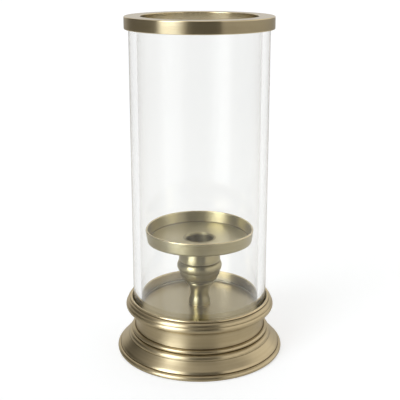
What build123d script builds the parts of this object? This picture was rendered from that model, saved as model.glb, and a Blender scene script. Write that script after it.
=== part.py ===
"""Hurricane candle lantern: a thick glass tube in a brass base, round a stem that carries a candle dish.

Millimetres, +Z up, origin at the centre of the felt's underside. Every piece but the nut and the split
washer is turned about the Z axis, so each is a section in the XZ plane, as (radius, height) points.
"""

import os

from build123d import *

# Driving dimensions
OVERALL_H = 254.0  # felt to the top of the ring: 10 in
FOOT_R = 63.5  # widest point of the foot: 5 in across
GLASS_R = 50.8  # outside of the glass tube: 4 in across
GLASS_WALL = 5.8
GLASS_RIM = 0.6  # rounding of the tube's fire-polished rims
RING_R = 54.0  # outside of the top ring
RING_MOUTH_R = 42.4
RING_H = 9.0
RING_SHEET = 1.2
RING_CORNER = 0.55
DISH_R = 40.85  # outside of the dish at its rim
DISH_RIM_Z = 97.2
DISH_H = 10.3
DISH_WALL = 1.5
TAPER_R = 10.3  # bore for a taper candle
SHEET = 1.5  # wall of the spun pieces
ROD_R = 3.0  # M6 tie rod

# Radii of the turned pieces at their widest and narrowest
STEP_R = 52.3
NECK_R = 49.25  # waist of the neck
COLLAR_R = 56.6  # big roll of the collar
FLANGE_IN_R = 46.0  # inner edge of the foot's top and of the step ring
NECK_FLANGE_R = 44.0  # inner edge of the neck's two flanges
LEDGE_IN_R = 40.0  # inner edge of the collar's ledge, which carries the gallery floor
STEM_FOOT_R = 8.3
STEM_WAIST_R = 7.1
BELL_R = 13.2
KNOP_R = 17.1
CUP_WAIST_R = 14.7
CUP_TOP_R = 17.6

# Heights of the joints between the stacked pieces
RIM_Z = 0.5  # foot's lower rim: the felt stands this far proud of it
FELT_TOP_Z = 2.0
CLOSURE_TOP_Z = 3.4
FOOT_TOP_Z = 15.6
STEP_TOP_Z = 18.8
NECK_TOP_Z = 30.6
GALLERY_LEDGE_Z = 33.8
GALLERY_FLOOR_Z = 35.3
COLLAR_TOP_Z = 42.8
SHAFT_TOP_Z = 51.8
BELL_TOP_Z = 56.6
KNOP_TOP_Z = 70.7
SPIGOT_Z = 65.0  # foot of the cup's spigot, which is let into the knop
CUP_FLOOR_Z = 74.6
DISH_BASE_Z = DISH_RIM_Z - DISH_H
DISH_FLOOR_Z = DISH_BASE_Z + 1.6

# Fastening through the stem and the base
CLAMP_R = 50.0
CLAMP_T = 2.0
WASHER_R = 9.0
WASHER_T = 1.2
LOCK_R = 5.6
LOCK_T = 1.4
LOCK_GAP = 0.8
NUT_FLATS = 10.0
NUT_H = 4.8
ROD_CHAMFER = 0.6

# Fits and clearances
FREE = 0.3  # between pieces that move past each other or drop in loosely
ROD_HOLE_R = ROD_R + 0.2
THREAD_R = ROD_R + 0.05  # tapped hole, without its thread
SPIGOT_R = 6.0
SPIGOT_GAP = 0.1
LINER_T = 0.5
LINER_GAP = 0.1
SEAT_T = 0.5
SEAT_INSET = 0.8
GASKET_T = 1.0
GASKET_LEG = 5.8

# Worked out from the above
GLASS_IN_R = GLASS_R - GLASS_WALL
GLASS_BASE_Z = GALLERY_FLOOR_Z + SEAT_T
GLASS_TOP_Z = OVERALL_H - RING_SHEET - GASKET_T
COLLAR_IN_R = GLASS_R + 0.8
LINER_R = TAPER_R + LINER_T
LINER_HOLE_R = LINER_R + LINER_GAP
ROD_TOP_Z = CUP_FLOOR_Z - 1.4
THREAD_TOP_Z = CUP_FLOOR_Z - 1.0
CLAMP_Z = FOOT_TOP_Z - SHEET - CLAMP_T
WASHER_Z = CLAMP_Z - WASHER_T
LOCK_Z = WASHER_Z - LOCK_T
NUT_Z = LOCK_Z - NUT_H
ROD_BASE_Z = NUT_Z - 0.6
RING_MID_R = (RING_MOUTH_R + RING_R) / 2
RING_W = RING_R - RING_MOUTH_R
FROM_BASE = (Align.CENTER, Align.CENTER, Align.MIN)
FROM_TOP = (Align.CENTER, Align.MAX)


# Base, from the floor up

with BuildPart() as base_felt:
    Cylinder(FOOT_R - 2.9, FELT_TOP_Z, align=FROM_BASE)

with BuildPart() as closure_plate:
    with Locations((0, 0, FELT_TOP_Z)):
        Cylinder(FOOT_R - 3.0, CLOSURE_TOP_Z - FELT_TOP_Z, align=FROM_BASE)

with BuildPart() as foot_shell:
    with BuildSketch(Plane.XZ):
        with BuildLine():
            # outside: rim bead, fine groove, flare, soft groove, upper bead
            ThreePointArc((FOOT_R - 0.64, RIM_Z), (FOOT_R, 2.0), (FOOT_R - 1.5, 4.0))
            Polyline((FOOT_R - 1.5, 4.0), (FOOT_R - 2.5, 4.2), (FOOT_R - 2.35, 4.75))
            Spline(
                (FOOT_R - 2.35, 4.75),
                (FOOT_R - 4.5, 7.6),
                (FOOT_R - 8.9, 12.0),
                tangents=[(-0.3, 1), (-0.9, 1)],
            )
            ThreePointArc((FOOT_R - 8.9, 12.0), (FOOT_R - 9.0, 13.5), (FOOT_R - 10.4, FOOT_TOP_Z - 0.3))
            # top, inner edge and inside
            Polyline(
                (FOOT_R - 10.4, FOOT_TOP_Z - 0.3),
                (FOOT_R - 11.3, FOOT_TOP_Z),
                (FLANGE_IN_R, FOOT_TOP_Z),
                (FLANGE_IN_R, FOOT_TOP_Z - SHEET),
                (FOOT_R - 10.9, FOOT_TOP_Z - SHEET),
                (FOOT_R - 10.5, 11.2),
                (FOOT_R - 5.7, 6.4),
                (FOOT_R - 3.9, 4.0),
                (FOOT_R - 3.9, CLOSURE_TOP_Z),
                (FOOT_R - 2.3, CLOSURE_TOP_Z),
                (FOOT_R - 2.3, RIM_Z),
                (FOOT_R - 0.64, RIM_Z),
            )
        make_face()
    revolve(axis=Axis.Z)

with BuildPart() as step_ring:
    with BuildSketch(Plane.XZ):
        with BuildLine():
            ThreePointArc(
                (STEP_R - 1.0, FOOT_TOP_Z),
                (STEP_R, (FOOT_TOP_Z + STEP_TOP_Z) / 2),
                (STEP_R - 1.6, STEP_TOP_Z),
            )
            Polyline(
                (STEP_R - 1.6, STEP_TOP_Z),
                (FLANGE_IN_R, STEP_TOP_Z),
                (FLANGE_IN_R, FOOT_TOP_Z),
                (STEP_R - 1.0, FOOT_TOP_Z),
            )
        make_face()
    revolve(axis=Axis.Z)

with BuildPart() as neck_shell:
    with BuildSketch(Plane.XZ):
        with BuildLine():
            ThreePointArc((NECK_R + 0.35, STEP_TOP_Z), (NECK_R, 24.0), (NECK_R + 0.65, NECK_TOP_Z))
            Polyline(
                (NECK_R + 0.65, NECK_TOP_Z),
                (NECK_FLANGE_R, NECK_TOP_Z),
                (NECK_FLANGE_R, NECK_TOP_Z - SHEET),
                (NECK_R - SHEET, NECK_TOP_Z - SHEET),
                (NECK_R - SHEET, STEP_TOP_Z + SHEET),
                (NECK_FLANGE_R, STEP_TOP_Z + SHEET),
                (NECK_FLANGE_R, STEP_TOP_Z),
                (NECK_R + 0.35, STEP_TOP_Z),
            )
        make_face()
    revolve(axis=Axis.Z)

with BuildPart() as gallery_collar:
    with BuildSketch(Plane.XZ):
        with BuildLine():
            # hollow underside, big roll, fine crease, sloping band, groove, lip bead
            ThreePointArc((COLLAR_R - 6.0, NECK_TOP_Z), (COLLAR_R - 5.2, 32.1), (COLLAR_R - 3.5, 33.1))
            ThreePointArc((COLLAR_R - 3.5, 33.1), (COLLAR_R, 36.2), (COLLAR_R - 0.7, 37.9))
            Line((COLLAR_R - 0.7, 37.9), (COLLAR_R - 1.0, 38.0))
            ThreePointArc((COLLAR_R - 1.0, 38.0), (COLLAR_R - 1.4, 39.7), (COLLAR_R - 2.7, 41.0))
            Line((COLLAR_R - 2.7, 41.0), (COLLAR_R - 3.3, 41.2))
            ThreePointArc((COLLAR_R - 3.3, 41.2), (COLLAR_R - 3.1, 42.2), (COLLAR_R - 4.0, COLLAR_TOP_Z))
            ThreePointArc((COLLAR_R - 4.0, COLLAR_TOP_Z), (COLLAR_R - 4.7, 42.6), (COLLAR_IN_R, 42.0))
            # seat for the glass and the ledge under the gallery floor
            Polyline(
                (COLLAR_IN_R, 42.0),
                (COLLAR_IN_R, GALLERY_LEDGE_Z),
                (LEDGE_IN_R, GALLERY_LEDGE_Z),
                (LEDGE_IN_R, NECK_TOP_Z),
                (COLLAR_R - 6.0, NECK_TOP_Z),
            )
        make_face()
    revolve(axis=Axis.Z)

with BuildPart() as gallery_floor:
    with BuildSketch(Plane.XY.offset(GALLERY_LEDGE_Z)):
        Circle(COLLAR_IN_R - FREE)
        Circle(ROD_HOLE_R, mode=Mode.SUBTRACT)
    extrude(amount=GALLERY_FLOOR_Z - GALLERY_LEDGE_Z)

with BuildPart() as glass_seat:
    with BuildSketch(Plane.XY.offset(GALLERY_FLOOR_Z)):
        Circle(GLASS_R - SEAT_INSET)
        Circle(GLASS_IN_R + SEAT_INSET, mode=Mode.SUBTRACT)
    extrude(amount=SEAT_T)


# Candle stem, from the gallery floor up

with BuildPart() as stem_shaft:
    with BuildSketch(Plane.XZ):
        with BuildLine():
            Spline(
                (STEM_FOOT_R, GALLERY_FLOOR_Z),
                (STEM_FOOT_R - 0.1, 38.2),
                (STEM_WAIST_R, 42.6),
                (STEM_WAIST_R + 0.1, 46.8),
                (STEM_FOOT_R + 0.6, SHAFT_TOP_Z),
                tangents=[(0.25, 1), (0.6, 1)],
            )
            Polyline(
                (STEM_FOOT_R + 0.6, SHAFT_TOP_Z),
                (ROD_HOLE_R, SHAFT_TOP_Z),
                (ROD_HOLE_R, GALLERY_FLOOR_Z),
                (STEM_FOOT_R, GALLERY_FLOOR_Z),
            )
        make_face()
    revolve(axis=Axis.Z)

with BuildPart() as stem_bell:
    with BuildSketch(Plane.XZ):
        with BuildLine():
            # narrow bead under a hollow that spreads to the knop
            ThreePointArc((BELL_R - 4.1, SHAFT_TOP_Z), (BELL_R - 3.0, 53.1), (BELL_R - 3.3, 54.2))
            ThreePointArc((BELL_R - 3.3, 54.2), (BELL_R - 2.0, 55.3), (BELL_R - 0.2, 55.9))
            Polyline(
                (BELL_R - 0.2, 55.9),
                (BELL_R, BELL_TOP_Z),
                (ROD_HOLE_R, BELL_TOP_Z),
                (ROD_HOLE_R, SHAFT_TOP_Z),
                (BELL_R - 4.1, SHAFT_TOP_Z),
            )
        make_face()
    revolve(axis=Axis.Z)

with BuildPart() as stem_knop:
    with BuildSketch(Plane.XZ):
        with BuildLine():
            # lower bulge, crease, upper bulge, and half of the groove under the cup
            ThreePointArc((KNOP_R - 4.2, BELL_TOP_Z), (KNOP_R - 2.1, 60.0), (KNOP_R - 1.3, 63.4))
            ThreePointArc((KNOP_R - 1.3, 63.4), (KNOP_R, 66.8), (KNOP_R - 1.1, KNOP_TOP_Z - 0.6))
            Polyline(
                (KNOP_R - 1.1, KNOP_TOP_Z - 0.6),
                (KNOP_R - 1.9, KNOP_TOP_Z),
                (SPIGOT_R + SPIGOT_GAP, KNOP_TOP_Z),
                (SPIGOT_R + SPIGOT_GAP, SPIGOT_Z),
                (ROD_HOLE_R, SPIGOT_Z),
                (ROD_HOLE_R, BELL_TOP_Z),
                (KNOP_R - 4.2, BELL_TOP_Z),
            )
        make_face()
    revolve(axis=Axis.Z)

with BuildPart() as socket_cup:
    with BuildSketch(Plane.XZ):
        with BuildLine():
            # other half of the groove, then a hollow waist that spreads to carry the dish
            Line((KNOP_R - 1.9, KNOP_TOP_Z), (KNOP_R - 1.3, KNOP_TOP_Z + 0.6))
            Spline(
                (KNOP_R - 1.3, KNOP_TOP_Z + 0.6),
                (KNOP_R - 1.6, 74.5),
                (CUP_WAIST_R, 79.5),
                (CUP_TOP_R, DISH_BASE_Z - 0.6),
                tangents=[(0, 1), (0.6, 1)],
            )
            # liner's bore, then the spigot and the tapped hole up its middle
            Polyline(
                (CUP_TOP_R, DISH_BASE_Z - 0.6),
                (CUP_TOP_R, DISH_BASE_Z),
                (LINER_HOLE_R, DISH_BASE_Z),
                (LINER_HOLE_R, CUP_FLOOR_Z),
                (0, CUP_FLOOR_Z),
                (0, THREAD_TOP_Z),
                (THREAD_R, THREAD_TOP_Z),
                (THREAD_R, SPIGOT_Z),
                (SPIGOT_R, SPIGOT_Z),
                (SPIGOT_R, KNOP_TOP_Z),
                (KNOP_R - 1.9, KNOP_TOP_Z),
            )
        make_face()
    revolve(axis=Axis.Z)

with BuildPart() as candle_dish:
    with BuildSketch(Plane.XZ):
        with BuildLine():
            # outside: rounded heel and flared wall
            ThreePointArc(
                (DISH_R - 3.0, DISH_BASE_Z),
                (DISH_R - 1.75, DISH_BASE_Z + 0.55),
                (DISH_R - 1.15, DISH_BASE_Z + 1.7),
            )
            Line((DISH_R - 1.15, DISH_BASE_Z + 1.7), (DISH_R, DISH_RIM_Z - 0.7))
            # full-round rim
            ThreePointArc(
                (DISH_R, DISH_RIM_Z - 0.7),
                (DISH_R - DISH_WALL / 2, DISH_RIM_Z),
                (DISH_R - DISH_WALL, DISH_RIM_Z - 0.7),
            )
            # inside: wall, corner, floor and the countersunk hole
            Line((DISH_R - DISH_WALL, DISH_RIM_Z - 0.7), (DISH_R - 2.55, DISH_FLOOR_Z + 0.9))
            ThreePointArc(
                (DISH_R - 2.55, DISH_FLOOR_Z + 0.9),
                (DISH_R - 2.8, DISH_FLOOR_Z + 0.25),
                (DISH_R - 3.4, DISH_FLOOR_Z),
            )
            Polyline(
                (DISH_R - 3.4, DISH_FLOOR_Z),
                (TAPER_R + 1.6, DISH_FLOOR_Z),
                (LINER_HOLE_R, DISH_FLOOR_Z - 1.0),
                (LINER_HOLE_R, DISH_BASE_Z),
                (DISH_R - 3.0, DISH_BASE_Z),
            )
        make_face()
    revolve(axis=Axis.Z)

with BuildPart() as taper_socket:
    with BuildSketch(Plane.XZ):
        with BuildLine():
            # cup-shaped liner with a lip rolled over the dish's countersink
            Polyline(
                (0, CUP_FLOOR_Z),
                (LINER_R, CUP_FLOOR_Z),
                (LINER_R, DISH_FLOOR_Z - 1.0),
                (TAPER_R + 1.5, DISH_FLOOR_Z),
                (TAPER_R + 1.3, DISH_FLOOR_Z + 0.15),
                (TAPER_R + 1.0, DISH_FLOOR_Z + 0.1),
                (TAPER_R, DISH_FLOOR_Z - 0.9),
                (TAPER_R, CUP_FLOOR_Z + LINER_T),
                (0, CUP_FLOOR_Z + LINER_T),
                close=True,
            )
        make_face()
    revolve(axis=Axis.Z)


# Fastening, from the clamp plate down

with BuildPart() as clamp_plate:
    with BuildSketch(Plane.XY.offset(CLAMP_Z)):
        Circle(CLAMP_R)
        Circle(ROD_HOLE_R, mode=Mode.SUBTRACT)
    extrude(amount=CLAMP_T)

with BuildPart() as tie_washer:
    with BuildSketch(Plane.XY.offset(WASHER_Z)):
        Circle(WASHER_R)
        Circle(ROD_HOLE_R, mode=Mode.SUBTRACT)
    extrude(amount=WASHER_T)

with BuildPart() as lock_washer:
    with BuildSketch(Plane.XY.offset(LOCK_Z)):
        Circle(LOCK_R)
        Circle(ROD_HOLE_R, mode=Mode.SUBTRACT)
        with Locations(((LOCK_R + ROD_HOLE_R) / 2, 0)):
            Rectangle(LOCK_R - ROD_HOLE_R + 1.0, LOCK_GAP, rotation=12, mode=Mode.SUBTRACT)
    extrude(amount=LOCK_T)

with BuildPart() as tie_nut:
    with BuildSketch(Plane.XY.offset(NUT_Z)):
        RegularPolygon(NUT_FLATS / 2, 6, major_radius=False)
        Circle(THREAD_R, mode=Mode.SUBTRACT)
    extrude(amount=NUT_H)

with BuildPart() as tie_rod:
    with BuildSketch(Plane.XY.offset(ROD_BASE_Z)):
        Circle(ROD_R)
    extrude(amount=ROD_TOP_Z - ROD_BASE_Z)
    chamfer(tie_rod.edges().filter_by(GeomType.CIRCLE), ROD_CHAMFER)


# Glass, which lifts out of the gallery

with BuildPart() as glass_chimney:
    with BuildSketch(Plane.XY.offset(GLASS_BASE_Z)):
        Circle(GLASS_R)
        Circle(GLASS_IN_R, mode=Mode.SUBTRACT)
    extrude(amount=GLASS_TOP_Z - GLASS_BASE_Z)
    fillet(glass_chimney.edges().filter_by(GeomType.CIRCLE), GLASS_RIM)


# Ring, which pulls off the glass, and its lining

with BuildPart() as top_ring:
    with BuildSketch(Plane.XZ) as ring_section:
        with Locations((RING_MID_R, OVERALL_H)):
            Rectangle(RING_W, RING_H, align=FROM_TOP)
        fillet(ring_section.vertices(), RING_CORNER)
        with Locations((RING_MID_R, OVERALL_H - RING_SHEET)):
            Rectangle(RING_W - 2 * RING_SHEET, RING_H, align=FROM_TOP, mode=Mode.SUBTRACT)
    revolve(axis=Axis.Z)

with BuildPart() as ring_gasket:
    with BuildSketch(Plane.XZ):
        with Locations((RING_MID_R, OVERALL_H - RING_SHEET)):
            Rectangle(RING_W - 2 * RING_SHEET, GASKET_LEG, align=FROM_TOP)
        with Locations(((GLASS_IN_R + GLASS_R) / 2, GLASS_TOP_Z)):
            Rectangle(GLASS_WALL + 2 * FREE, GASKET_LEG, align=FROM_TOP, mode=Mode.SUBTRACT)
    revolve(axis=Axis.Z)


# One STEP file to each piece, labelled with its name

PIECES = {
    "base_felt": base_felt,
    "closure_plate": closure_plate,
    "foot_shell": foot_shell,
    "step_ring": step_ring,
    "neck_shell": neck_shell,
    "gallery_collar": gallery_collar,
    "gallery_floor": gallery_floor,
    "glass_seat": glass_seat,
    "stem_shaft": stem_shaft,
    "stem_bell": stem_bell,
    "stem_knop": stem_knop,
    "socket_cup": socket_cup,
    "candle_dish": candle_dish,
    "taper_socket": taper_socket,
    "clamp_plate": clamp_plate,
    "tie_washer": tie_washer,
    "lock_washer": lock_washer,
    "tie_nut": tie_nut,
    "tie_rod": tie_rod,
    "glass_chimney": glass_chimney,
    "top_ring": top_ring,
    "ring_gasket": ring_gasket,
}

os.makedirs("parts", exist_ok=True)
for name, piece in PIECES.items():
    piece.part.label = name
    export_step(piece.part, f"parts/{name}.step")
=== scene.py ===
"""Looks of the hurricane candle lantern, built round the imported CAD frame. Metres, +Z up."""

import math

import bpy
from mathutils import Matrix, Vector


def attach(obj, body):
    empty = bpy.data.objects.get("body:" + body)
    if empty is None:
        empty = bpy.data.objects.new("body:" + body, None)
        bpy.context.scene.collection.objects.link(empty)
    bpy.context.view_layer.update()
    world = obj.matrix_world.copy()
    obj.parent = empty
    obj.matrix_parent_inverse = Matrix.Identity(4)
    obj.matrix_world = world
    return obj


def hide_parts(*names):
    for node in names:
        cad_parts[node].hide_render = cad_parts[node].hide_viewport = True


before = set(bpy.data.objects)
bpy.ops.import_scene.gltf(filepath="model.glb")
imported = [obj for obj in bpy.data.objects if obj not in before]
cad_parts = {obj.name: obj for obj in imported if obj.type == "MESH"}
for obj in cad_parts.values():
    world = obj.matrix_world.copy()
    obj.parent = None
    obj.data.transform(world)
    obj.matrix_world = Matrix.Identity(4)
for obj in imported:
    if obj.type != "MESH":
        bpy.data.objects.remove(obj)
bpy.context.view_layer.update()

MM = 0.001
SEGMENTS = 256  # round each turned piece
BEND_WINDOW = 0.9 * MM  # how far along a section counts towards an edge or a hollow
FULL_BEND = math.radians(75)  # turn within the window that counts as fully proud or hollow
PATINA_AND_SHADE_REACH = 0.8 * MM  # how far the dark patina and painted shade spread from a joint
ON_SEAM = 2e-7  # a vertex this near the XZ plane belongs to the section
MICRON = 1e-6

# Camera, in metres and degrees
EYE = (0.0, -0.6000, 0.2942)
TILT_DOWN = 14.53
LENS = 74.79
SENSOR = 36.0
SHIFT_X = 0.00125
SHIFT_Y = -0.06875

# Soft lights round the lantern: left, right, low and high edge in degrees, turned from the camera and
# risen from level, then strength, and how soft the left and the right edge are, in degrees
SOFT_LIGHTS = (
    (-98.0, -64.0, -90.0, 90.0, 0.13, 28.0, 4.0),  # dim side wall
    (-62.0, -28.0, -40.0, 48.0, 5.4, 6.0, 14.0),  # softbox
    (-64.0, 33.0, -90.0, 90.0, 0.03, 4.0, 1.5),  # dark zone round the camera
    (33.0, 137.0, -90.0, 44.0, 1.05, 1.0, 10.0),  # reflector
    (-150.0, -66.0, 22.0, 90.0, 0.20, 10.0, 8.0),  # upper side wall
)
SOFT_UP = 8.0  # softness of the low and the high edges
WALL_BEHIND = (125.0, 150.0, 0.72)  # fades in between these turns, to this strength
CEILING = (35.0, 70.0, 0.62)  # fades in between these rises, to this strength
LAMP_LEVELS = (1.2, 3.0)  # dimmer light is warm, brighter light is cool
WARM = (1.0, 0.95, 0.87)
COOL = (0.95, 0.98, 1.0)
WHITE = (1.0, 1.0, 1.0)
SEEN_WORLD = 1.03

# Floor
FLOOR_HALF = 6.0
FLOOR_SEEN = (0.48, 0.50, 0.53)
FLOOR_GLOW = 0.61
FLOOR_NEAR = (0.72, 0.70, 0.66)
FLOOR_FAR = (0.32, 0.30, 0.27)
FLOOR_FADE = (0.35, 1.2)  # distances over which near turns to far
FLOOR_GLOSS = (0.85, 0.85, 0.84)
FLOOR_ROUGHNESS = 0.36
FLOOR_GLOSS_SHARE = 0.35


# ---------------------------------------------------------------- node helpers


class Tree:
    """Adds nodes to a shader tree, and links sockets given in place of values."""

    def __init__(self, tree):
        self.tree = tree
        tree.nodes.clear()

    def add(self, kind, inputs=None, **props):
        node = self.tree.nodes.new(kind)
        for key, value in props.items():
            setattr(node, key, value)
        for key, value in (inputs or {}).items():
            self.put(node.inputs[key], value)
        return node

    def put(self, socket, value):
        if isinstance(value, bpy.types.NodeSocket):
            self.tree.links.new(value, socket)
        else:
            socket.default_value = value

    def math(self, operation, *values, clamp=False):
        node = self.add("ShaderNodeMath", operation=operation, use_clamp=clamp)
        for i, value in enumerate(values):
            self.put(node.inputs[i], value)
        return node.outputs[0]

    def step(self, value, low, high, to_low=0.0, to_high=1.0):
        node = self.add("ShaderNodeMapRange", interpolation_type="SMOOTHSTEP")
        for i, v in enumerate((value, low, high, to_low, to_high)):
            self.put(node.inputs[i], v)
        return node.outputs[0]

    def mix(self, factor, a, b):
        node = self.add("ShaderNodeMix", data_type="RGBA")
        self.put(node.inputs[0], factor)
        self.put(node.inputs[6], a)
        self.put(node.inputs[7], b)
        return node.outputs[2]

    def blend(self, factor, a, b):
        return self.add("ShaderNodeMixShader", {0: factor, 1: a, 2: b}).outputs[0]

    def about_half(self, value, amount):
        """A noise value swung round zero, by this amount."""
        return self.math("MULTIPLY", self.math("SUBTRACT", value, 0.5), amount)

    def noise(self, vector, scale, detail=2.0, roughness=0.5):
        node = self.add(
            "ShaderNodeTexNoise",
            {"Vector": vector, "Scale": scale, "Detail": detail, "Roughness": roughness},
        )
        return node.outputs[0]


def new_material(name):
    material = bpy.data.materials.new(name)
    material.use_nodes = True
    return material, Tree(material.node_tree)


def rgb(r, g, b):
    return (r, g, b, 1.0)


# ------------------------------------------------------------- turned pieces


def outline(node):
    """The section of a CAD node of revolution, as its anticlockwise loop of (radius, height) points."""
    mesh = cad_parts[node].data
    place = {}
    for v in mesh.vertices:
        if abs(v.co.y) < ON_SEAM and v.co.x > 0:
            place[v.index] = (round(v.co.x / MICRON), round(v.co.z / MICRON))
    near = {}
    for e in mesh.edges:
        a, b = e.vertices
        if a in place and b in place and place[a] != place[b]:
            near.setdefault(place[a], set()).add(place[b])
            near.setdefault(place[b], set()).add(place[a])
    # A floor that is whole reaches the axis, where the section has no corner of its own.
    for end in sorted(p for p in near if len(near[p]) == 1):
        pole = (0, end[1])
        near[end].add(pole)
        near.setdefault(pole, set()).add(end)
    poles = sorted(p for p in near if p[0] == 0)
    if poles:
        near[poles[0]].add(poles[1])
        near[poles[1]].add(poles[0])
    start = min(near)
    loop, last, here = [start], None, start
    while True:
        onward = sorted(p for p in near[here] if p != last)
        last, here = here, onward[0]
        if here == start:
            break
        loop.append(here)
    points = [Vector((r * MICRON, z * MICRON)) for r, z in loop]
    area = sum(a.x * b.y - b.x * a.y for a, b in zip(points, points[1:] + points[:1]))
    return points if area > 0 else points[::-1]


def turn_at(a, b, c):
    """Signed angle turned at b, in radians: positive at a convex corner of an anticlockwise loop."""
    u, v = b - a, c - b
    return math.atan2(u.x * v.y - u.y * v.x, u.dot(v))


def rounded(points, radius, sharp=math.radians(24), steps=3):
    """The loop with each sharp corner rounded off. Returns (point, unit normal) pairs."""
    n = len(points)
    out = []
    for i, b in enumerate(points):
        a, c = points[i - 1], points[(i + 1) % n]
        u, v = (b - a).normalized(), (c - b).normalized()
        angle = turn_at(a, b, c)
        nu, nv = Vector((u.y, -u.x)), Vector((v.y, -v.x))
        if b.x == 0:
            out.append((b, nu if abs(nu.y) > abs(nv.y) else nv))
            continue
        if abs(angle) < sharp:
            lu, lv = (b - a).length, (c - b).length
            out.append((b, (nu * lu**2 + nv * lv**2).normalized()))
            continue
        back = min(radius * abs(math.tan(angle / 2)), 0.4 * (b - a).length, 0.4 * (c - b).length)
        p, q = b - u * back, b + v * back
        for k in range(steps + 1):
            t = k / steps
            point = p * (1 - t) ** 2 + b * 2 * t * (1 - t) + q * t**2
            normal = (nu * (1 - t) + nv * t).normalized()
            out.append((point, normal))
    return out


def divided(profile, longest):
    """Adds points so that no step along the loop is longer than this."""
    out = []
    for (p, m), (q, n) in zip(profile, profile[1:] + profile[:1]):
        count = 1 if p.x == q.x == 0 else max(1, math.ceil((q - p).length / longest))
        for k in range(count):
            t = k / count
            out.append((p.lerp(q, t), m.lerp(n, t).normalized()))
    return out


def gap(point, line):
    """Distance from a point to a closed section."""
    best = 1.0
    for a, b in zip(line, line[1:] + line[:1]):
        run = b - a
        t = min(max((point - a).dot(run) / max(run.length_squared, 1e-18), 0.0), 1.0)
        best = min(best, (a + run * t - point).length_squared)
    return math.sqrt(best)


def joint_along(profile, others, reach):
    """How close each point is to a neighbouring piece, from 0, far, to 1, touching."""
    out = []
    for point, _ in profile:
        value = 0.0
        for line in others:
            low_r, high_r = min(q.x for q in line), max(q.x for q in line)
            low_z, high_z = min(q.y for q in line), max(q.y for q in line)
            apart = max(low_r - point.x, point.x - high_r, low_z - point.y, point.y - high_z)
            if apart < 4 * reach:
                value = max(value, math.exp(-gap(point, line) / reach))
        out.append(value)
    return out


def bend_along(profile, window):
    """How far the loop turns within the window round each point, from -1, hollow, to 1, proud."""
    n = len(profile)
    turns = [turn_at(profile[i - 1][0], profile[i][0], profile[(i + 1) % n][0]) for i in range(n)]
    out = []
    for i in range(n):
        total = turns[i]
        for way in (1, -1):
            gone, j = 0.0, i
            while True:
                k = (j + way) % n
                gone += (profile[k][0] - profile[j][0]).length
                if gone > window or k == i:
                    break
                total += turns[k] * (1 - gone / window)
                j = k
        out.append(max(-1.0, min(1.0, total / FULL_BEND)))
    return out


def lathe(name, profile, bends):
    """Turns the section round the Z axis. A point on the axis becomes one vertex.

    The attribute edge_bend tells the material what each point is, from -1, hollow, where patina and painted
    shade go, to 1, proud.
    """
    n = len(profile)
    verts, normals, values, ids = [], [], [], []
    for s in range(SEGMENTS):
        a = 2 * math.pi * s / SEGMENTS
        ca, sa = math.cos(a), math.sin(a)
        row = []
        for i, ((p, m), bend) in enumerate(zip(profile, bends)):
            if p.x == 0 and s:
                row.append(ids[0][i])
                continue
            row.append(len(verts))
            verts.append((p.x * ca, p.x * sa, p.y))
            normals.append((m.x * ca, m.x * sa, m.y))
            values.append(bend)
        ids.append(row)
    faces = []
    for s in range(SEGMENTS):
        here, there = ids[s], ids[(s + 1) % SEGMENTS]
        for i in range(n):
            j = (i + 1) % n
            corners = list(dict.fromkeys((here[i], there[i], there[j], here[j])))
            if len(corners) > 2:
                faces.append(corners)
    mesh = bpy.data.meshes.new(name)
    mesh.from_pydata(verts, [], faces)
    mesh.polygons.foreach_set("use_smooth", [True] * len(faces))
    attribute = mesh.attributes.new("edge_bend", "FLOAT", "POINT")
    attribute.data.foreach_set("value", values)
    mesh.normals_split_custom_set_from_vertices(normals)
    mesh.update()
    piece = bpy.data.objects.new(name, mesh)
    bpy.context.scene.collection.objects.link(piece)
    return piece


def turned(node, body, material, neighbours=(), corner=0.15, longest=0.6):
    """A finely turned copy of a CAD node, with its corners broken as a finisher leaves them."""
    profile = divided(rounded(outline(node), corner * MM), longest * MM)
    bends = bend_along(profile, BEND_WINDOW)
    others = [outline(name) for name in neighbours if name != node]
    joints = joint_along(profile, others, PATINA_AND_SHADE_REACH)
    # Joints count as hollows, which take dark patina and painted shade.
    bends = [bend * (1 - joint) - joint for bend, joint in zip(bends, joints)]
    piece = lathe("turned_" + node, profile, bends)
    piece.data.materials.append(material)
    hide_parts(node)
    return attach(piece, body)


# ----------------------------------------------------------------- materials


# Dark patina and painted shade, laid into hollows and joints
PATINA_AND_SHADE_COLOUR = (0.12, 0.085, 0.045)
WORN = (0.86, 0.74, 0.50)


def streaks(tree, xyz, across, along, detail, roughness):
    """Noise that runs in streaks round the Z axis: this fine across them, in 1/mm, and along them."""
    rr = tree.math("ADD", tree.math("MULTIPLY", xyz[0], xyz[0]), tree.math("MULTIPLY", xyz[1], xyz[1]))
    radius = tree.math("MULTIPLY", tree.math("SQRT", rr), 1 / MM)
    height = tree.math("MULTIPLY", xyz[2], 1 / MM)
    swing = tree.math("MULTIPLY", tree.math("ARCTAN2", xyz[1], xyz[0]), along)
    vector = tree.add(
        "ShaderNodeCombineXYZ",
        {
            0: tree.math("MULTIPLY", radius, across),
            1: tree.math("MULTIPLY", height, across),
            2: tree.math("SINE", swing),
        },
    )
    return tree.noise(vector.outputs[0], 1.0, detail, roughness)


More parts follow.
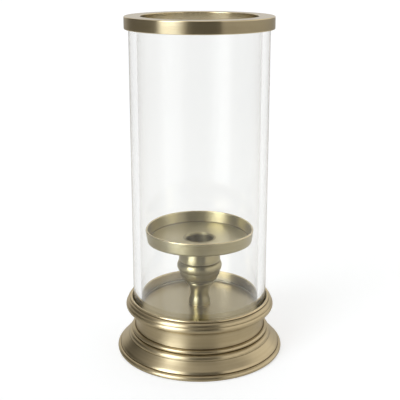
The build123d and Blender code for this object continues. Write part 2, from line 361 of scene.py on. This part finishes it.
def brass(name, bright, dark, roughness, spread, anisotropy, bump, use_bend=True, shade_and_patina=1.0):
    """Aged brass, brushed round the axis, darkened with patina and painted shade in hollows and joints, and
    worn on proud edges.
    """
    material, tree = new_material(name)
    place = tree.add("ShaderNodeTexCoord").outputs["Object"]
    xyz = tree.add("ShaderNodeSeparateXYZ", {0: place}).outputs
    fine = streaks(tree, xyz, 3.2, 3.0, 3.0, 0.65)
    broad = streaks(tree, xyz, 0.45, 1.0, 2.0, 0.5)
    cloud = tree.noise(place, 55.0, 4.0, 0.6)
    tone = tree.math("ADD", tree.about_half(fine, 0.35), tree.about_half(broad, 0.5))
    tone = tree.math("ADD", tone, tree.about_half(cloud, 0.5))
    colour = tree.mix(tree.math("ADD", tone, 0.5, clamp=True), rgb(*dark), rgb(*bright))
    rough = tree.math("ADD", tree.about_half(fine, spread), roughness)
    rough = tree.math("ADD", tree.about_half(cloud, spread), rough)
    if use_bend:
        bend = tree.add("ShaderNodeAttribute", attribute_name="edge_bend").outputs["Fac"]
        broken = tree.math("ADD", tree.about_half(cloud, 0.35), bend)
        worn = tree.step(broken, 0.25, 0.95)
        # Hollows and joints get painted shade together with dark patina: darker and rougher there.
        hollow = tree.math("MULTIPLY", tree.step(broken, -0.15, -0.8), shade_and_patina)
        colour = tree.mix(tree.math("MULTIPLY", hollow, 0.75), colour, rgb(*PATINA_AND_SHADE_COLOUR))
        colour = tree.mix(tree.math("MULTIPLY", worn, 0.6), colour, rgb(*WORN))
        rough = tree.math("MULTIPLY_ADD", hollow, 0.18, rough)
        rough = tree.math("MULTIPLY_ADD", worn, -0.06, rough, clamp=True)
    ridge = tree.math("MULTIPLY_ADD", cloud, 0.15, fine)
    bumped = tree.add("ShaderNodeBump", {"Strength": bump, "Distance": 0.12 * MM, "Height": ridge})
    tangent = tree.add("ShaderNodeTangent", direction_type="RADIAL", axis="Z")
    shader = tree.add(
        "ShaderNodeBsdfPrincipled",
        {
            "Base Color": colour,
            "Metallic": 1.0,
            "Roughness": rough,
            "Anisotropic": anisotropy,
            "Anisotropic Rotation": 0.25,
            "Tangent": tangent.outputs[0],
            "Normal": bumped.outputs[0],
        },
    )
    tree.add("ShaderNodeOutputMaterial", {"Surface": shader.outputs[0]})
    return material


def glass():
    """Clear drawn glass, with faint upright waves and seeds. It lets light through to cast no dark shadow."""
    material, tree = new_material("clear_glass")
    place = tree.add("ShaderNodeTexCoord").outputs["Object"]
    stretch = tree.add("ShaderNodeMapping", {"Vector": place, "Scale": (1.0, 1.0, 0.12)})
    draw = tree.noise(stretch.outputs[0], 38.0, 1.0, 0.4)
    seeds = tree.noise(place, 420.0, 2.0, 0.5)
    height = tree.math("MULTIPLY_ADD", seeds, 0.02, draw)
    bumped = tree.add("ShaderNodeBump", {"Strength": 0.03, "Distance": 0.2 * MM, "Height": height})
    tint = tree.mix(draw, rgb(0.955, 0.960, 0.955), rgb(0.980, 0.980, 0.976))
    clear = tree.add(
        "ShaderNodeBsdfPrincipled",
        {
            "Base Color": tint,
            "Roughness": 0.0,
            "IOR": 1.5,
            "Transmission Weight": 1.0,
            "Normal": bumped.outputs[0],
        },
    )
    through = tree.add("ShaderNodeBsdfTransparent", {"Color": rgb(0.93, 0.95, 0.94)})
    path = tree.add("ShaderNodeLightPath")
    mixed = tree.blend(path.outputs["Is Shadow Ray"], clear.outputs[0], through.outputs[0])
    tree.add("ShaderNodeOutputMaterial", {"Surface": mixed})
    return material


def plain(name, dark, bright, roughness, spread, scale, bump, metallic=0.0, **sockets):
    """A mottled material: painted or plated steel, rubber or felt."""
    material, tree = new_material(name)
    place = tree.add("ShaderNodeTexCoord").outputs["Object"]
    grain = tree.noise(place, scale, 5.0, 0.65)
    cloud = tree.noise(place, scale / 14, 3.0, 0.5)
    both = tree.math("ADD", tree.about_half(cloud, 0.7), grain, clamp=True)
    bumped = tree.add("ShaderNodeBump", {"Strength": bump, "Distance": 0.2 * MM, "Height": grain})
    inputs = {
        "Base Color": tree.mix(both, rgb(*dark), rgb(*bright)),
        "Metallic": metallic,
        "Roughness": tree.math("ADD", tree.about_half(both, spread), roughness),
        "Normal": bumped.outputs[0],
    }
    inputs.update(sockets)
    shader = tree.add("ShaderNodeBsdfPrincipled", inputs)
    tree.add("ShaderNodeOutputMaterial", {"Surface": shader.outputs[0]})
    return material


base_brass = brass(
    "antique_brass_base", (0.65, 0.565, 0.385), (0.41, 0.335, 0.205), 0.31, 0.10, 0.7, 0.08, shade_and_patina=1.3
)
stem_brass = brass("antique_brass_stem", (0.56, 0.51, 0.33), (0.42, 0.37, 0.215), 0.31, 0.08, 0.65, 0.07)
ring_brass = brass("antique_brass_ring", (0.52, 0.46, 0.32), (0.40, 0.335, 0.21), 0.18, 0.06, 0.5, 0.06)
polished = brass(
    "polished_brass", (0.53, 0.47, 0.32), (0.45, 0.40, 0.26), 0.26, 0.04, 0.3, 0.015, use_bend=False
)
zinc = plain("zinc_steel", (0.52, 0.53, 0.54), (0.68, 0.69, 0.70), 0.34, 0.16, 900.0, 0.08, 1.0)
black = plain("black_steel", (0.03, 0.03, 0.032), (0.06, 0.06, 0.062), 0.55, 0.2, 1400.0, 0.2)
felt = plain(
    "felt", (0.012, 0.012, 0.013), (0.05, 0.05, 0.052), 0.95, 0.05, 2600.0, 0.8,
    **{"Sheen Weight": 0.35, "Sheen Roughness": 0.5},
)
silicone = plain(
    "silicone", (0.30, 0.27, 0.20), (0.40, 0.37, 0.28), 0.42, 0.1, 700.0, 0.05,
    **{"Subsurface Weight": 0.2, "Subsurface Scale": 2.0 * MM},
)
clear = glass()

BRASS_TURNED = (
    ("base", base_brass, ("foot_shell", "step_ring", "neck_shell", "gallery_collar")),
    (
        "base", stem_brass,
        ("stem_shaft", "stem_bell", "stem_knop", "socket_cup", "candle_dish", "taper_socket"),
    ),
    ("rim", ring_brass, ("top_ring",)),
)
for body, material, names in BRASS_TURNED:
    for node in names:
        turned(node, body, material, names)

turned("glass_chimney", "chimney", clear, corner=0.6, longest=20.0)

CARRIED = {
    "gallery_floor": polished,
    "clamp_plate": zinc,
    "tie_washer": zinc,
    "lock_washer": zinc,
    "tie_nut": zinc,
    "tie_rod": zinc,
    "closure_plate": black,
    "base_felt": felt,
    "glass_seat": silicone,
    "ring_gasket": silicone,
}
for node, material in CARRIED.items():
    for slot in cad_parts[node].material_slots:
        slot.material = material


# --------------------------------------------------------- floor, light, camera


def seen_straight(tree):
    """1 for rays that reach the camera straight or only through glass, 0 for light and reflections.

    A ray mirrored once inside the glass's wall still counts as seen through it.
    """
    path = tree.add("ShaderNodeLightPath").outputs
    no_gloss = tree.math("LESS_THAN", path["Glossy Depth"], 0.5)
    no_bounce = tree.math("LESS_THAN", path["Diffuse Depth"], 0.5)
    in_wall = tree.math("LESS_THAN", path["Transmission Depth"], 2.5)
    clear_way = tree.math("MULTIPLY", no_bounce, tree.math("MAXIMUM", no_gloss, in_wall))
    passed = tree.math("MULTIPLY", path["Is Transmission Ray"], clear_way)
    return tree.math("MAXIMUM", path["Is Camera Ray"], passed)


def floor():
    """A pale floor, brightened where it is seen straight, and darker far off where it is mirrored."""
    mesh = bpy.data.meshes.new("floor")
    corners = [(x * FLOOR_HALF, y * FLOOR_HALF, 0) for x, y in ((-1, -1), (1, -1), (1, 1), (-1, 1))]
    mesh.from_pydata(corners, [], [(0, 1, 2, 3)])
    piece = bpy.data.objects.new("floor", mesh)
    bpy.context.scene.collection.objects.link(piece)
    material, tree = new_material("pale_floor")
    lit = tree.add("ShaderNodeBsdfDiffuse", {"Color": rgb(*FLOOR_SEEN)}).outputs[0]
    glow = tree.add("ShaderNodeEmission", {"Color": rgb(*WHITE), "Strength": FLOOR_GLOW}).outputs[0]
    seen = tree.add("ShaderNodeAddShader", {0: lit, 1: glow}).outputs[0]
    place = tree.add("ShaderNodeTexCoord").outputs["Object"]
    away = tree.add("ShaderNodeVectorMath", {0: place}, operation="LENGTH").outputs["Value"]
    pale = tree.mix(tree.step(away, *FLOOR_FADE), rgb(*FLOOR_NEAR), rgb(*FLOOR_FAR))
    matt = tree.add("ShaderNodeBsdfDiffuse", {"Color": pale}).outputs[0]
    gloss = tree.add(
        "ShaderNodeBsdfGlossy", {"Color": rgb(*FLOOR_GLOSS), "Roughness": FLOOR_ROUGHNESS}
    ).outputs[0]
    mirrored = tree.blend(FLOOR_GLOSS_SHARE, matt, gloss)
    mixed = tree.blend(seen_straight(tree), mirrored, seen)
    tree.add("ShaderNodeOutputMaterial", {"Surface": mixed})
    material.cycles.emission_sampling = "NONE"
    mesh.materials.append(material)


def studio():
    """A white surround with a tall soft light to the camera's left and a dark zone round the camera."""
    world = bpy.data.worlds.new("studio")
    bpy.context.scene.world = world
    world.use_nodes = True
    tree = Tree(world.node_tree)
    way = tree.add("ShaderNodeTexCoord").outputs["Generated"]
    x, y, z = tree.add("ShaderNodeSeparateXYZ", {0: way}).outputs
    turn = tree.math("DEGREES", tree.math("ARCTAN2", x, tree.math("MULTIPLY", y, -1.0)))
    rise = tree.math("DEGREES", tree.math("ARCSINE", z))

    def patch(left, right, low, high, strength, soft_left, soft_right):
        a = tree.step(turn, left - soft_left, left + soft_left)
        b = tree.step(turn, right - soft_right, right + soft_right, 1.0, 0.0)
        c = tree.step(rise, low - SOFT_UP, low + SOFT_UP)
        d = tree.step(rise, high - SOFT_UP, high + SOFT_UP, 1.0, 0.0)
        area = tree.math("MULTIPLY", tree.math("MULTIPLY", a, b), tree.math("MULTIPLY", c, d))
        return tree.math("MULTIPLY", area, strength)

    def fade_in(angle, start, end, strength):
        return tree.step(angle, start, end, 0.0, strength)

    light = fade_in(tree.math("ABSOLUTE", turn), *WALL_BEHIND)
    for area in SOFT_LIGHTS:
        light = tree.math("ADD", light, patch(*area))
    light = tree.math("ADD", light, fade_in(rise, *CEILING))
    cast = tree.mix(tree.step(light, *LAMP_LEVELS), rgb(*WARM), rgb(*COOL))
    around = tree.add("ShaderNodeBackground", {"Color": cast, "Strength": light}).outputs[0]
    behind = tree.add("ShaderNodeBackground", {"Color": rgb(*WHITE), "Strength": SEEN_WORLD}).outputs[0]
    mixed = tree.blend(seen_straight(tree), around, behind)
    tree.add("ShaderNodeOutputWorld", {"Surface": mixed})


def camera():
    data = bpy.data.cameras.new("camera")
    data.lens = LENS
    data.sensor_width = SENSOR
    data.shift_x = SHIFT_X
    data.shift_y = SHIFT_Y
    piece = bpy.data.objects.new("camera", data)
    piece.location = EYE
    piece.rotation_euler = (math.radians(90 - TILT_DOWN), 0.0, 0.0)
    bpy.context.scene.collection.objects.link(piece)
    bpy.context.scene.camera = piece


floor()
studio()
camera()
bpy.context.scene.view_settings.view_transform = "Standard"
